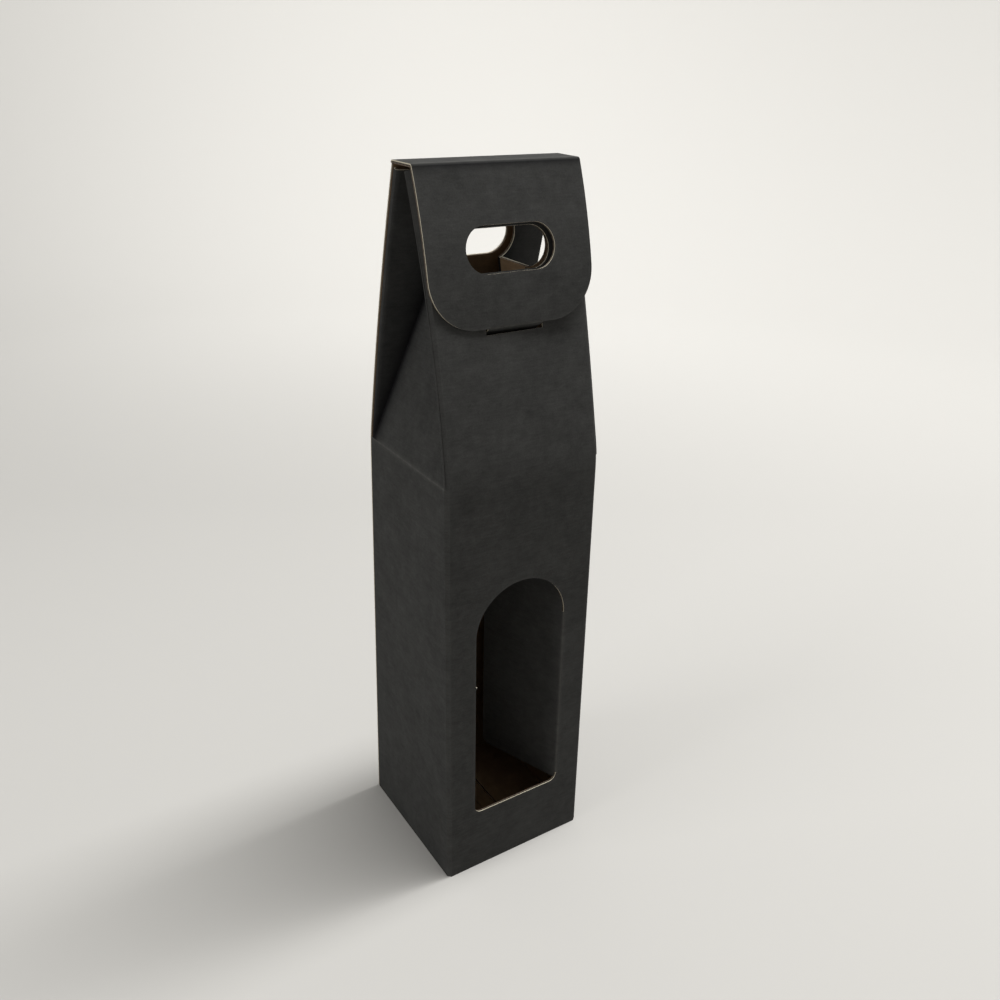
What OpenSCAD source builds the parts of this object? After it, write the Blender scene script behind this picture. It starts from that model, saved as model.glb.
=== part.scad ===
// Carrier box of thin corrugated board for one wine bottle, with a gable top and a tucked closing flap.
// Millimetres, +Z up, front towards -Y, origin on the floor under the middle of the tube.
// The box is one creased and glued sheet: each panel between two creases or bends is a piece.

/* [Board] */
// Thickness of the corrugated board
board = 1.5; // [1:0.1:2.4]
// Gap that a crease leaves between two panels
crease_gap = 0.3; // [0.2:0.05:0.5]

/* [Tube] */
// Outer width of the tube
tube_w = 90; // [84:1:110]
// Outer depth of the tube at the floor
base_d = 90; // [84:1:110]
// Outer depth of the tube at the shoulder, where the gable draws front and back in
shoulder_d = 81; // [76:1:96]
// Height of the shoulder crease
shoulder_h = 241; // [215:1:270]

/* [Gable] */
// Overall height, up to the top of the strip
top_h = 383; // [370:1:410]
// Depth of the strip over the top, from crease to crease
strip_d = 19; // [16:1:24]
// How far the front's top edge lies behind the strip's front crease
front_setback = 4.5; // [3:0.5:6]
// How far the front's top edge lies below the strip
front_drop = 1.5; // [1:0.5:4]
// How far the front bows out between shoulder and top
front_bow = 3; // [1:0.5:5]
// How far the back bows out between shoulder and top
back_bow = 2; // [1:0.5:4]

/* [Handle holes] */
// Distance from the top of the box down to the middle of the holes in front, back and gussets
hole_drop = 38; // [33:1:46]
// Width of the hole in the back
hole_w = 46; // [36:1:50]
// Width of the hole in the front
front_hole_w = 49.5; // [38:0.5:52]
// Height of the hole in front and back
hole_h = 20; // [16:1:24]
// Width of the hole through a gusset, measured round its folds
gusset_hole_w = 42; // [36:1:50]
// Height of the hole through a gusset
gusset_hole_h = 22; // [18:1:26]
// How far the hole through a gusset lies towards the front, measured round its folds
gusset_hole_shift = 1.8; // [0:0.2:3]

/* [Closing flap] */
// Length of the flap along its curve
flap_l = 74; // [66:1:80]
// Radius of the flap's lower corners
flap_r = 24; // [12:1:30]
// Angle by which the flap stands off the front's slope
flap_ease = 0.2; // [0:0.1:3]
// Radius to which the flap curves back towards the front
flap_bend_r = 265; // [240:5:300]
// Distance along the flap from its crease to the middle of its hole
flap_hole_drop = 38.7; // [34:0.1:42]
// Width of the hole in the flap
flap_hole_w = 48.6; // [40:0.2:54]
// Height of the hole in the flap
flap_hole_h = 21.6; // [18:0.2:26]

/* [Tuck tab] */
// Width of the tab
tab_w = 30; // [20:1:36]
// Length of the tab from the flap's edge
tab_l = 12; // [9:0.5:16]
// Angle at which the tab slopes down into the box, at which it all but rests on the slot's lower edge
tab_dip = 38; // [20:1:39]
// Radius of the tab's free corners
tab_r = 4; // [2:0.5:6]
// Gap between the tab and each end of its slot
tab_side_gap = 1.2; // [0.6:0.1:2]
// Open height of the slot below the flap's edge
slot_below = 3.4; // [2.4:0.1:4]
// Height of the slot above the flap's edge
slot_above = 5.5; // [5:0.1:8]

/* [Window] */
// Width of the window
window_w = 55.5; // [44:0.5:60]
// Height of the window's lower edge above the floor
window_bottom = 39; // [30:1:50]
// Height of the top of the window's arch above the floor
window_top = 181; // [150:1:200]
// Radius of the window's lower corners
window_r = 4.5; // [2:0.5:8]
// Gap round the window's cut-out when it is folded shut
window_kerf = 0.8; // [0.7:0.1:1.2]
// Angle at which the window's cut-out stays turned in from the front
window_turn = 70; // [0:5:90]

/* [Bottom] */
// Length of the side flaps of the bottom
side_flap_l = 34; // [24:1:38]
// How far the ends of a side flap are mitred
side_flap_mitre = 12; // [6:1:16]
// How far each long flap hooks past the middle
hook_l = 12; // [6:1:18]

/* [Seam] */
// Width of the glue flap of the tube
seam_w = 14; // [10:1:18]
// Distance of the glue flap from floor and shoulder
seam_end = 6; // [5:1:12]
// Slant of the glue flap's ends
seam_slant = 5; // [2:1:8]
// Width of the glue flap of the gable
gable_seam_w = 9; // [7:1:11]

/* [Hidden] */

$fn = 64;
black = [0.17, 0.17, 0.16];
fold_black = [0.12, 0.12, 0.12];
kraft = [0.62, 0.47, 0.3];

// Thickness of the glue between two boards
glue_line = 0.05;
// Overrun of every cut past the faces that it passes
overrun = 10;
// Straight pieces that draw a bow or a curve
curve_steps = 16;
// Inset of a wing from its crease with the gusset, where the board's black faces meet
wing_inset = 1.1 * board;
// Distance of the tab's root from its crease
tab_root = 1.6 * board;
// Length of a gusset tip that is crushed between its wings, as a share of the tip
tip_crush_share = 0.3;
// Distance of the window cut-out from its crease
window_root = board + window_kerf;

lean = atan((base_d - shoulder_d) / 2 / shoulder_h);
kraft_x = tube_w / 2 - board;
shoulder_in = shoulder_d / 2 - board / cos(lean);
base_in = base_d / 2 - board / cos(lean);

hole_z = top_h - hole_drop;

// Outer profile points are [distance from the middle, height]; front and back share their form.
shoulder_pt = [shoulder_d / 2, shoulder_h];
front_top_pt = [strip_d / 2 - front_setback, top_h - board - front_drop];
back_top_pt = [strip_d / 2, top_h - board - crease_gap];

function unit(v) = v / norm(v);
function outward(a, b) = let (d = unit(b - a)) [d[1], -d[0]];
// Point on the bowed chord from the shoulder to a top point, at share t of its height
function bow_pt(top, bow, t) =
    shoulder_pt + (top - shoulder_pt) * t + outward(shoulder_pt, top) * 4 * bow * t * (1 - t);
function bow_dir(top, bow, t) =
    unit(top - shoulder_pt + outward(shoulder_pt, top) * 4 * bow * (1 - 2 * t));
function bow_normal(top, bow, t) = let (d = bow_dir(top, bow, t)) [d[1], -d[0]];
// Lean of the panel from the vertical at share t
function bow_angle(top, bow, t) = let (d = bow_dir(top, bow, t)) atan(-d[0] / d[1]);
// Share of the gable's height at height z
function share_at(top, z) = (z - shoulder_h) / (top[1] - shoulder_h);

// Section of the front's or the back's tube wall, from the floor to the line where it bends at the shoulder
wall_section = [[base_d / 2, 0], shoulder_pt, [shoulder_in, shoulder_h], [base_in, 0]];
// Section of the front's or the back's gable, from the bend at the shoulder to its top edge
function gable_section(top, bow) = let (start = crease_gap / norm(top - shoulder_pt),
        shares = concat([start], [for (i = [1:curve_steps]) i / curve_steps]))
    concat([for (t = shares) bow_pt(top, bow, t)],
        [for (i = [curve_steps:-1:0]) bow_pt(top, bow, shares[i]) - board * bow_normal(top, bow, shares[i])]);

// Draws its children, made for the back, on the back; the front is their mirror image
module to_front() { mirror([0, 1, 0]) children(); }

// Section in the plane of depth and height, drawn out over a width
module drawn_out(w) {
    translate([-w / 2, 0, 0]) rotate([90, 0, 90]) linear_extrude(w) children();
}

// Flat frame on the outer face of the leaning tube wall: X stays, Y climbs the wall, Z points out
module on_wall() {
    translate([0, base_d / 2, 0]) rotate([90 + lean, 0, 0]) mirror([0, 0, 1]) children();
}

// Flat frame on the outer face of a bowed gable panel at share t
module on_gable(top, bow, t) {
    p = bow_pt(top, bow, t);
    translate([0, p[0], p[1]]) rotate([90 + bow_angle(top, bow, t), 0, 0]) mirror([0, 0, 1]) children();
}

// Prism through the board under a flat frame
module through() { translate([0, 0, -board - overrun]) linear_extrude(board + 2 * overrun) children(); }

// Upright slot shape with round ends
module stadium(w, h) {
    square([w - h, h], center = true);
    for (side = [-1, 1]) translate([side * (w - h) / 2, 0]) circle(d = h);
}

// Arched window shape with small lower corners
module arch(w, bottom, top, r) {
    translate([-w / 2, bottom + r]) square([w, top - w / 2 - bottom - r]);
    translate([r - w / 2, bottom]) square([w - 2 * r, 2 * r]);
    translate([0, top - w / 2]) circle(d = w);
    for (side = [-1, 1]) translate([side * (w / 2 - r), bottom + r]) circle(r);
}

// Front wall of the tube, with the window
module front_panel() {
    color(black) to_front() difference() {
        drawn_out(tube_w) polygon(wall_section);
        on_wall() through() arch(window_w, window_bottom, window_top, window_r);
    }
}

// Front of the gable, above the bend at the shoulder, with the handle hole and the slot for the tab
module front_gable() {
    slot_z = flap_end[1] + (slot_above - slot_below) / 2;
    slot_t = share_at(front_top_pt, slot_z);
    hole_t = share_at(front_top_pt, hole_z);
    color(black) to_front() difference() {
        drawn_out(tube_w) polygon(gable_section(front_top_pt, front_bow));
        on_gable(front_top_pt, front_bow, hole_t) through() stadium(front_hole_w, hole_h);
        on_gable(front_top_pt, front_bow, slot_t) through()
            square([tab_w + 2 * tab_side_gap, slot_above + slot_below], center = true);
    }
}

// Back wall of the tube
module back_panel() { color(black) drawn_out(tube_w) polygon(wall_section); }

// Back of the gable, from the bend at the shoulder up to the strip's crease
module back_gable() {
    hole_t = share_at(back_top_pt, hole_z);
    color(black) difference() {
        drawn_out(tube_w) polygon(gable_section(back_top_pt, back_bow));
        on_gable(back_top_pt, back_bow, hole_t) through() stadium(hole_w, hole_h);
    }
}

// Side wall between front and back
module side_panel() {
    color(black) translate([-tube_w / 2, 0, 0]) rotate([90, 0, 90]) linear_extrude(board)
        polygon([[-base_in, 0], [base_in, 0], [shoulder_in, shoulder_h], [-shoulder_in, shoulder_h]]);
}

module left_panel() { side_panel(); }

module right_panel() { mirror([1, 0, 0]) side_panel(); }

// Glue flap on the inside of the back, along the tube's seam
module seam_flap() {
    wall_l = shoulder_h / cos(lean);
    color(kraft) on_wall() translate([-kraft_x, 0, -2 * board - glue_line]) linear_extrude(board)
        polygon([[0, seam_end], [seam_w, seam_end + seam_slant],
            [seam_w, wall_l - seam_end - seam_slant], [0, wall_l - seam_end]]);
}

// Glue flap on the inside of the back's gable, drawn out of the same bowed section
module gable_seam_flap() {
    first = 3;
    last = curve_steps - 2;
    inner = [for (i = [first:last]) let (t = i / curve_steps)
        bow_pt(back_top_pt, back_bow, t) - (board + glue_line) * bow_normal(back_top_pt, back_bow, t)];
    outer = [for (i = [last:-1:first]) let (t = i / curve_steps)
        bow_pt(back_top_pt, back_bow, t) - (2 * board + glue_line) * bow_normal(back_top_pt, back_bow, t)];
    color(kraft) translate([-kraft_x + gable_seam_w / 2, 0, 0])
        drawn_out(gable_seam_w) polygon(concat(inner, outer));
}

// Long flap of the bottom, hooked past the middle on one half
module long_bottom_flap() {
    half_w = kraft_x - crease_gap;
    root = base_in - crease_gap;
    color(kraft) linear_extrude(board) polygon([[-half_w, root], [half_w, root],
        [half_w, hook_l + crease_gap], [-crease_gap / 2, hook_l + crease_gap],
        [-crease_gap / 2, crease_gap - hook_l], [-half_w, crease_gap - hook_l]]);
}

module bottom_back_flap() { long_bottom_flap(); }

module bottom_front_flap() { rotate([0, 0, 180]) long_bottom_flap(); }

// Side flap of the bottom, glued on the long flaps, with mitred ends
module side_bottom_flap() {
    half_root = base_in - seam_end;
    root = kraft_x - crease_gap;
    color(kraft) translate([0, 0, board + glue_line]) linear_extrude(board) polygon([[-root, -half_root],
        [side_flap_l - root, side_flap_mitre - half_root], [side_flap_l - root, half_root - side_flap_mitre],
        [-root, half_root]]);
}

module bottom_left_flap() { side_bottom_flap(); }

module bottom_right_flap() { mirror([1, 0, 0]) side_bottom_flap(); }

// The gusset folds on the board's kraft faces. These corners are for a left side without a seam.
front_inner_top = front_top_pt - board * bow_normal(front_top_pt, front_bow, 1);
gusset_top = front_inner_top[1] - crease_gap;
back_inner_y = let (t = share_at(back_top_pt, gusset_top))
    (bow_pt(back_top_pt, back_bow, t) - board * bow_normal(back_top_pt, back_bow, t))[0];
front_foot = [-kraft_x, crease_gap - shoulder_in, shoulder_h + crease_gap];
back_foot = [-kraft_x, shoulder_in - crease_gap, shoulder_h + crease_gap];
front_head = [-kraft_x, crease_gap - front_inner_top[0], gusset_top];
back_head = [-kraft_x, back_inner_y - crease_gap, gusset_top];
middle_y = (front_head[1] + back_head[1]) / 2;
// A wing is half as wide as the side wall at the shoulder, so its tip reaches this far in
gusset_reach = sqrt(pow(back_foot[1], 2) - pow(back_head[1] - middle_y, 2));
gusset_tip_pt = [gusset_reach - kraft_x, middle_y, gusset_top];
// The glue flap of the gable lies between the back and the left wing, and pushes its fold in
seam_shift = [0, -board - crease_gap, 0];
// Distance from a side fold to the middle of the round end of the gusset's hole
hole_end_in = back_foot[1] + (gusset_hole_h - gusset_hole_w) / 2;

// Puts a flat shape into the plane through corner a, its X along a to b and its Y towards c
module in_plane(a, b, c) {
    u = unit(b - a);
    v = unit((c - a) - ((c - a) * u) * u);
    n = cross(u, v);
    multmatrix([[u[0], v[0], n[0], a[0]], [u[1], v[1], n[1], a[1]], [u[2], v[2], n[2], a[2]], [0, 0, 0, 1]])
        children();
}

// Everything beyond the middle plane of the gusset's fold, on the side given
module beyond_middle(side) {
    tilt = atan(middle_y / (gusset_top - shoulder_h));
    size = top_h;
    translate([-size / 2, 0, shoulder_h]) rotate([-tilt, 0, 0])
        translate([0, side > 0 ? -crease_gap / 2 : crease_gap / 2 - size, -size / 2]) cube(size);
}

// Wing between a side fold and the gusset; side is 1 where the black face lies on the plane's normal side
module wing(foot, head, side) {
    fold_l = norm(head - foot);
    u = (head - foot) / fold_l;
    tip_s = (gusset_tip_pt - foot) * u;
    v = unit((gusset_tip_pt - foot) - tip_s * u);
    tip_w = (gusset_tip_pt - foot) * v;
    start_s = wing_inset / sin(atan(tip_w / tip_s));
    keep = 1 - start_s / fold_l;
    end_in = hole_end_in - side * gusset_hole_shift;
    hole_s = (hole_z - foot[2] - end_in * v[2]) / u[2];
    color(fold_black) difference() {
        in_plane(foot, head, gusset_tip_pt) translate([0, 0, side > 0 ? 0 : -board]) linear_extrude(board)
            difference() {
                polygon([[start_s, 0], [fold_l, 0], [fold_l + keep * (tip_s - fold_l), keep * tip_w]]);
                translate([hole_s, end_in]) circle(d = gusset_hole_h);
                translate([hole_s - gusset_hole_h / 2, end_in]) square([gusset_hole_h, shoulder_d]);
            }
        beyond_middle(side);
    }
}

module left_front_wing() { wing(front_foot, front_head, 1); }

module left_back_wing() { wing(back_foot + seam_shift, back_head + seam_shift, -1); }

module right_front_wing() { mirror([1, 0, 0]) left_front_wing(); }

module right_back_wing() { mirror([1, 0, 0]) wing(back_foot, back_head, -1); }

// Size of the gusset triangle in its own plane
gusset_base = norm(back_foot - front_foot);
gusset_mid = (gusset_tip_pt - front_foot) * unit(back_foot - front_foot);
gusset_h = norm((gusset_tip_pt - front_foot) - gusset_mid * unit(back_foot - front_foot));
gusset_hole_mid = gusset_h * (hole_z - front_foot[2]) / (gusset_top - front_foot[2]);

// Band of the gusset triangle between two heights in its plane
module gusset_band(low, high) {
    color(fold_black) in_plane(front_foot, back_foot, gusset_tip_pt) translate([0, 0, -board])
        linear_extrude(board) polygon([
            [gusset_mid * low / gusset_h, low],
            [gusset_base + (gusset_mid - gusset_base) * low / gusset_h, low],
            [gusset_base + (gusset_mid - gusset_base) * high / gusset_h, high],
            [gusset_mid * high / gusset_h, high]]);
}

module left_gusset() { gusset_band(0, gusset_hole_mid - gusset_hole_h / 2); }

module right_gusset() { mirror([1, 0, 0]) left_gusset(); }

module left_gusset_tip() {
    low = gusset_hole_mid + gusset_hole_h / 2;
    gusset_band(low, gusset_h - tip_crush_share * (gusset_h - low));
}

module right_gusset_tip() { mirror([1, 0, 0]) left_gusset_tip(); }

// Strip over the top, creased on the back's top edge
module top_strip() {
    color(black) translate([-tube_w / 2, -strip_d / 2, top_h - board]) cube([tube_w, strip_d, board]);
}

// Slope of the flap from the vertical at its top crease, worked out from the front's slope and the flap's curve
flap_slope = atan((shoulder_pt[0] - front_top_pt[0]) / (front_top_pt[1] - shoulder_h)) + flap_ease
    + flap_l / flap_bend_r / 2 * 180 / PI;
// Curve of the flap's outer face, as [distance in front of the middle, height] at arc length s
function flap_angle(s) = flap_slope - s / flap_bend_r * 180 / PI;
function flap_pt(s) = [strip_d / 2 + flap_bend_r * (cos(flap_angle(s)) - cos(flap_slope)),
    top_h - flap_bend_r * (sin(flap_slope) - sin(flap_angle(s)))];
function flap_in(s) = flap_pt(s) - board * [cos(flap_angle(s)), sin(flap_angle(s))];
flap_start = board + crease_gap;
flap_end = flap_pt(flap_l);

// Outline of the flap, with X across and Y up to the crease, flattened on the middle of its hole
module flap_outline() {
    half_w = tube_w / 2;
    translate([-half_w, flap_r - flap_l]) square([tube_w, flap_l - flap_r]);
    translate([flap_r - half_w, -flap_l]) square([tube_w - 2 * flap_r, 2 * flap_r]);
    for (side = [-1, 1]) translate([side * (half_w - flap_r), flap_r - flap_l]) circle(flap_r);
}

// Closing flap, curved over the front, with its handle hole
module closing_flap() {
    steps = [for (i = [0:curve_steps]) flap_start + (flap_l - flap_start) * i / curve_steps];
    tilt = flap_angle(flap_hole_drop);
    at = flap_pt(flap_hole_drop);
    color(black) to_front() difference() {
        intersection() {
            drawn_out(tube_w) polygon(concat([for (s = steps) flap_pt(s)],
                [for (i = [curve_steps:-1:0]) flap_in(steps[i])]));
            translate([0, at[0], at[1]]) rotate([90 + tilt, 0, 0]) mirror([0, 0, 1])
                translate([0, flap_hole_drop, -board - overrun]) linear_extrude(board + 2 * overrun)
                flap_outline();
        }
        translate([0, at[0], at[1]]) rotate([90 + tilt, 0, 0]) mirror([0, 0, 1]) through()
            stadium(flap_hole_w, flap_hole_h);
    }
}

// Tab that passes through the slot of the front
module tuck_tab() {
    color(black) translate([0, -flap_end[0], flap_end[1]]) rotate([-tab_dip, 0, 0]) linear_extrude(board)
        union() {
            translate([-tab_w / 2, tab_root]) square([tab_w, tab_l - tab_r - tab_root]);
            translate([tab_r - tab_w / 2, tab_root]) square([tab_w - 2 * tab_r, tab_l - tab_root]);
            for (side = [-1, 1]) translate([side * (tab_w / 2 - tab_r), tab_l - tab_r]) circle(tab_r);
        }
}

// Cut-out of the window, creased on the window's right edge and turned in
module window_flap() {
    color(fold_black) to_front() on_wall() translate([window_w / 2, 0, 0]) rotate([0, -window_turn, 0])
        translate([-window_w / 2, 0, -board]) linear_extrude(board) intersection() {
            arch(window_w - 2 * window_kerf, window_bottom + window_kerf, window_top - window_kerf, window_r);
            translate([-window_w / 2, 0]) square([window_w - window_root, window_top]);
        }
}

front_panel();
front_gable();
left_panel();
right_panel();
back_panel();
back_gable();
seam_flap();
gable_seam_flap();
bottom_front_flap();
bottom_back_flap();
bottom_left_flap();
bottom_right_flap();
left_gusset();
right_gusset();
left_gusset_tip();
right_gusset_tip();
left_front_wing();
right_front_wing();
left_back_wing();
right_back_wing();
top_strip();
closing_flap();
tuck_tab();
window_flap();
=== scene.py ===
import math

import bmesh
import bpy
from mathutils import Matrix, Vector
from mathutils.kdtree import KDTree


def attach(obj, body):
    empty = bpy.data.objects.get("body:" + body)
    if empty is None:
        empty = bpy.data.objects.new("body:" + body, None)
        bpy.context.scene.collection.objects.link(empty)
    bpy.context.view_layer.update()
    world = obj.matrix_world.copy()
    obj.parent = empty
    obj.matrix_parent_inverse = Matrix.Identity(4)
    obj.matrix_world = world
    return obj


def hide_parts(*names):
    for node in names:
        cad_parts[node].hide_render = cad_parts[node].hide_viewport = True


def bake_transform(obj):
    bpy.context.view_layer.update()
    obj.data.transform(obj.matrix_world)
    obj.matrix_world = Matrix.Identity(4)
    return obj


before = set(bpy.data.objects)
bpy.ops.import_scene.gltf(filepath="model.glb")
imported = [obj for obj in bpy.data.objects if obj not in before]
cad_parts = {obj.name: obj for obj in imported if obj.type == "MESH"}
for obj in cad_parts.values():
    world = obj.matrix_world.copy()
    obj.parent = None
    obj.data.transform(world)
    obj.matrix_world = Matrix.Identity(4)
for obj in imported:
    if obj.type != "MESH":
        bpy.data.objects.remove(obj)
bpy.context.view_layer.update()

# Sizes, in millimetres
MM = 0.001
BOARD = 1.5
FOLD_IN = 0.25                     # kraft radius inside a fold
FOLD_R = BOARD + FOLD_IN           # black radius round a fold
WIDTH, BASE_D, SHOULDER_D = 90.0, 90.0, 81.0
SHOULDER_H, TOP_H, STRIP_D = 241.0, 383.0, 19.0
HALF_W = WIDTH / 2
FLAT_X = HALF_W - FOLD_R           # where a side fold starts
HOLE_Z = 345.0
HOLE_W, FRONT_HOLE_W, HOLE_H = 46.0, 49.5, 20.0
GUSSET_HOLE_W, GUSSET_HOLE_H, GUSSET_HOLE_SHIFT = 42.0, 22.0, 1.8
FLAP_L, FLAP_R, FLAP_BEND_R = 74.0, 24.0, 265.0
FLAP_HOLE_DROP, FLAP_HOLE_W, FLAP_HOLE_H = 38.7, 48.6, 21.6
TAB_W, TAB_L, TAB_R, TAB_DIP = 30.0, 12.0, 4.0, 38.0
SLOT_W, SLOT_BELOW, SLOT_ABOVE = 32.4, 3.4, 5.5
WINDOW_W, WINDOW_BOTTOM, WINDOW_TOP, WINDOW_R = 55.5, 39.0, 181.0, 4.5
WINDOW_KERF, WINDOW_TURN = 0.8, math.radians(70)
WINDOW_TANGENT = FOLD_R * math.tan(WINDOW_TURN / 2)
NICK_AT, NICK_L, NICK_W = 123.5, 0.9, 1.1       # torn nick that held the cut-out in the sheet
WINDOW_CRUSH, TAB_CRUSH = 0.95, 0.9             # kraft pressed back at a fold that closes further
SIDE_FLAP_L, SIDE_MITRE, HOOK_L = 34.0, 12.0, 12.0
SEAM_W, SEAM_END, SEAM_SLANT, GABLE_SEAM_W = 14.0, 6.0, 5.0, 9.0
GABLE_SEAM_SPAN = (3 / 16, 14 / 16)              # shares of the gable's back

FRONT_SETBACK, FRONT_DROP, BACK_DROP = 4.5, 3.0, 1.8
FRONT_BOW, FRONT_BOW_SKEW, BACK_BOW = 3.4, 1.7, 2.0         # the front bows more at its left edge
SHOULDER_ROUND = 7.0               # the bend at the shoulder is spread this far up and down
SEAM_GAP, FLAP_GAP = 0.2, 0.05     # glued boards, and flaps that lie on each other
INSIDE_GAP = 0.3                   # bottom flaps and gussets inside the walls
PITCH, TALL_PITCH = 3.0, 3.2       # grid of the boards, across and along the tall ones
MID_PITCH, FINE_PITCH = 2.5, 2.0   # the same for the smaller boards
ON_LINE = 0.02                     # a point nearer than this lies on a line

LEAN = math.atan((BASE_D - SHOULDER_D) / 2 / SHOULDER_H)
WALL_L = SHOULDER_H / math.cos(LEAN)
FRONT_TOP = (STRIP_D / 2 - FRONT_SETBACK, TOP_H - FRONT_DROP)
BACK_TOP = (STRIP_D / 2, TOP_H - BACK_DROP)


# Sections of the bent panels
def gable_chord(top):
    return math.hypot(top[0] - SHOULDER_D / 2, top[1] - SHOULDER_H)


def panel_length(top):
    return WALL_L + gable_chord(top)


def gable_section(top, bow):
    """Outer line of the front or back above the shoulder, as [distance out, height] at share t."""
    x0, z0 = SHOULDER_D / 2, SHOULDER_H
    dx, dz = top[0] - x0, top[1] - z0
    length = math.hypot(dx, dz)
    ox, oz = dz / length, -dx / length

    def at(t):
        b = 4 * bow * t * (1 - t)
        return x0 + dx * t + ox * b, z0 + dz * t + oz * b
    return at


def section_point(s, top, bow):
    """Point of the outer line at length s from the floor, with the gable's length taken on its chord."""
    if s <= WALL_L:
        return BASE_D / 2 - s * math.sin(LEAN), s * math.cos(LEAN)
    return gable_section(top, bow)((s - WALL_L) / gable_chord(top))


def smooth_section(s, top, bow):
    """The same with the bend at the shoulder rounded, and the normal that points out."""
    total = panel_length(top)
    aside = 0.4

    def mean(q):
        r = min(SHOULDER_ROUND, max(q, 0.0), max(total - q, 0.0))
        pts = [section_point(q + r * k / 4, top, bow) for k in range(-4, 5)]
        return sum(p[0] for p in pts) / len(pts), sum(p[1] for p in pts) / len(pts)
    y, z = mean(s)
    a, b = mean(s - aside), mean(s + aside)
    if s < aside:
        a = section_point(0, top, bow)
    ty, tz = b[0] - a[0], b[1] - a[1]
    n = math.hypot(ty, tz)
    return y, z, tz / n, -ty / n


def front_bow(x):
    return FRONT_BOW - FRONT_BOW_SKEW * x / HALF_W


def back_bow(x):
    return BACK_BOW


PAST_TOP = 8.0                     # a search for a height ends this far beyond the panel


def find_length(low, height_at, z):
    """Length along a panel, from low on, at which height_at() reaches z."""
    high = WALL_L + TOP_H - SHOULDER_H + PAST_TOP
    for _ in range(40):
        mid = (low + high) / 2
        if height_at(mid) < z:
            low = mid
        else:
            high = mid
    return low


def hole_at(top, bow, z):
    """Length along the panel at which its outer face reaches height z."""
    return find_length(WALL_L, lambda s: section_point(s, top, bow(0))[1], z)


# Mesh tools
FAR = 12.0                         # beyond this a rubbed edge or the painted shade of a fold no longer matters
RIM_WEAR = 1.0                     # cut edges are rubbed less than creases
CREASE_SHADE_EASE = 0.4                  # weakens the painted shade line where the closing flap is creased
OUTSIDE, INSIDE, RIM = 0, 1, 2     # a board's surfaces, in the order of their materials
SMOOTH_UNDER = math.radians(32)


def only(obj):
    if bpy.context.object and bpy.context.object.mode != "OBJECT":
        bpy.ops.object.mode_set(mode="OBJECT")
    bpy.ops.object.select_all(action="DESELECT")
    obj.select_set(True)
    bpy.context.view_layer.objects.active = obj


def place(obj, size, at):
    only(obj)
    obj.scale, obj.location = size, at
    bpy.ops.object.transform_apply(location=True, rotation=True, scale=True)


def sheet(name, u0, u1, v0, v1, step_u=PITCH, step_v=PITCH):
    """Flat board on its kraft face, with u across, v along and its black face up."""
    bpy.ops.object.select_all(action="DESELECT")
    nu, nv = max(1, round((u1 - u0) / step_u)), max(1, round((v1 - v0) / step_v))
    bpy.ops.mesh.primitive_grid_add(x_subdivisions=nu, y_subdivisions=nv, size=1)
    obj = bpy.context.object
    obj.name = obj.data.name = name
    place(obj, (u1 - u0, v1 - v0, 1), ((u0 + u1) / 2, (v0 + v1) / 2, 0))
    thick = obj.modifiers.new("board", "SOLIDIFY")
    thick.thickness, thick.offset = BOARD, 1.0
    bpy.ops.object.modifier_apply(modifier="board")
    return obj


def slab(u0, u1, v0, v1):
    """Square-cornered cutter through the board."""
    bpy.ops.object.select_all(action="DESELECT")
    bpy.ops.mesh.primitive_cube_add(size=1)
    obj = bpy.context.object
    place(obj, (u1 - u0, v1 - v0, 4 * BOARD), ((u0 + u1) / 2, (v0 + v1) / 2, BOARD / 2))
    return obj


def disc(u, v, r, stretch=0.0, sides=96):
    """Round cutter, or one with two round ends when stretched along u."""
    bpy.ops.object.select_all(action="DESELECT")
    bpy.ops.mesh.primitive_cylinder_add(vertices=sides, radius=r, depth=4 * BOARD,
                                        rotation=(0, 0, math.pi / sides))
    obj = bpy.context.object
    place(obj, (1, 1, 1), (0, 0, BOARD / 2))
    if stretch:
        for sign in (-1, 1):
            bpy.ops.object.mode_set(mode="EDIT")
            bpy.ops.mesh.select_all(action="DESELECT")
            bpy.ops.object.mode_set(mode="OBJECT")
            for vert in obj.data.vertices:
                vert.select = vert.co.x * sign > 0
            bpy.ops.object.mode_set(mode="EDIT")
            bpy.ops.transform.translate(value=(sign * stretch / 2, 0, 0))
            bpy.ops.object.mode_set(mode="OBJECT")
    place(obj, (1, 1, 1), (u, v, 0))
    return obj


def rounded_slab(u0, u1, v0, v1, r, corners):
    """Cutter with round upright edges at the corners named by their signs."""
    obj = slab(u0, u1, v0, v1)
    bpy.ops.object.mode_set(mode="EDIT")
    bpy.ops.mesh.select_all(action="DESELECT")
    bm = bmesh.from_edit_mesh(obj.data)
    um, vm = (u0 + u1) / 2, (v0 + v1) / 2
    for e in bm.edges:
        a, b = e.verts[0].co, e.verts[1].co
        if abs(a.x - b.x) < 1e-4 and abs(a.y - b.y) < 1e-4:
            e.select = (1 if a.x > um else -1, 1 if a.y > vm else -1) in corners
    bmesh.update_edit_mesh(obj.data)
    bpy.ops.mesh.bevel(offset=r, offset_type="OFFSET", segments=16, profile=0.5, affect="EDGES")
    bpy.ops.object.mode_set(mode="OBJECT")
    return obj


def cut(obj, cutter, operation="DIFFERENCE"):
    only(obj)
    mod = obj.modifiers.new("cut", "BOOLEAN")
    mod.operation, mod.solver, mod.object = operation, "EXACT", cutter
    bpy.ops.object.modifier_apply(modifier="cut")
    bpy.data.objects.remove(cutter, do_unlink=True)
    return obj


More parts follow.
